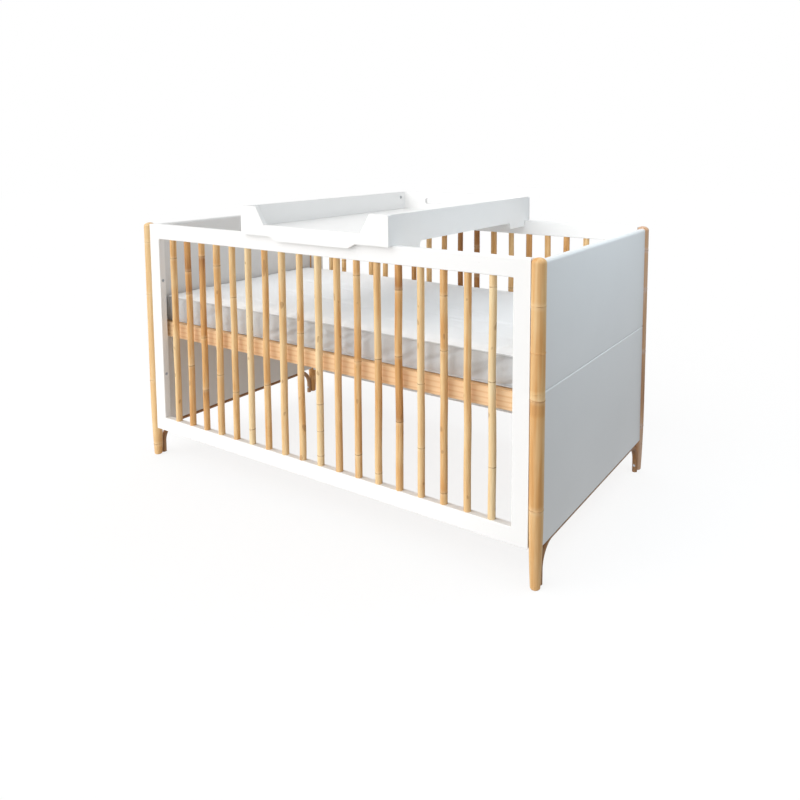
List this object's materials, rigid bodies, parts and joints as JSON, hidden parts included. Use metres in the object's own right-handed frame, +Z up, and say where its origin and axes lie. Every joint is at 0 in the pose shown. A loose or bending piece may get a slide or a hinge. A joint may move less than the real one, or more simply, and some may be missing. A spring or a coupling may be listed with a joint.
{
  "type": "convertible crib",
  "caption": "Convertible cot with round rattan corner legs, split end panels, barred sides, a slatted base with mattress, and a lift-off changing tray across the sides.",
  "frame": {"origin": "on the floor under the middle of the crib", "axes": "+X along the crib, -Y is the front barred side, +Z up"},
  "size_m": [1.4672, 0.822, 0.88],
  "materials": {
    "rattan": "satin natural cane",
    "grey_paint": "satin paint on board",
    "white_paint": "satin paint on wood",
    "pine": "bare",
    "beech": "bare",
    "mattress_cover": "quilted cotton",
    "steel": "zinc plated",
    "brass": "plain"
  },
  "bodies": {
    "crib": {"post_lower_front_left": "rattan", "post_lower_front_right": "rattan", "post_lower_back_left": "rattan", "post_lower_back_right": "rattan", "post_upper_front_left": "rattan", "post_upper_front_right": "rattan", "post_upper_back_left": "rattan", "post_upper_back_right": "rattan", "post_dowels": "beech", "panel_lower_left": "grey_paint", "panel_lower_right": "grey_paint", "panel_upper_left": "grey_paint", "panel_upper_right": "grey_paint", "panel_dowels": "beech", "arch_left": "rattan", "arch_right": "rattan", "arch_screws": "steel", "front_top_rail": "white_paint", "front_bottom_rail": "white_paint", "front_stile_left": "white_paint", "front_stile_right": "white_paint", "front_bars": "rattan", "back_top_rail": "white_paint", "back_bottom_rail": "white_paint", "back_stile_left": "white_paint", "back_stile_right": "white_paint", "back_bars": "rattan", "frame_dowels": "beech", "side_bolts": "steel", "post_inserts": "brass", "base_rail_front": "pine", "base_rail_back": "pine", "base_end_left": "pine", "base_end_right": "pine", "slat_ledges": "pine", "base_slats": "pine", "base_screws": "steel", "base_bolts": "steel", "panel_inserts": "brass"},
    "tray": {"tray_front_board": "white_paint", "tray_back_board": "white_paint", "tray_side_left": "white_paint", "tray_side_right": "white_paint", "tray_floor": "white_paint", "tray_dowels": "beech", "tray_cam_bolts": "steel", "tray_cams": "steel"},
    "mattress": {"mattress": "mattress_cover"}
  },
  "joints": [
    {"name": "tray_lift", "type": "slide", "parent": "crib", "child": "tray", "axis": [0, 0, 1], "range_m": [0, 0.25]},
    {"name": "mattress_lift", "type": "slide", "parent": "crib", "child": "mattress", "axis": [0, 0, 1], "range_m": [0, 0.2]}
  ]
}
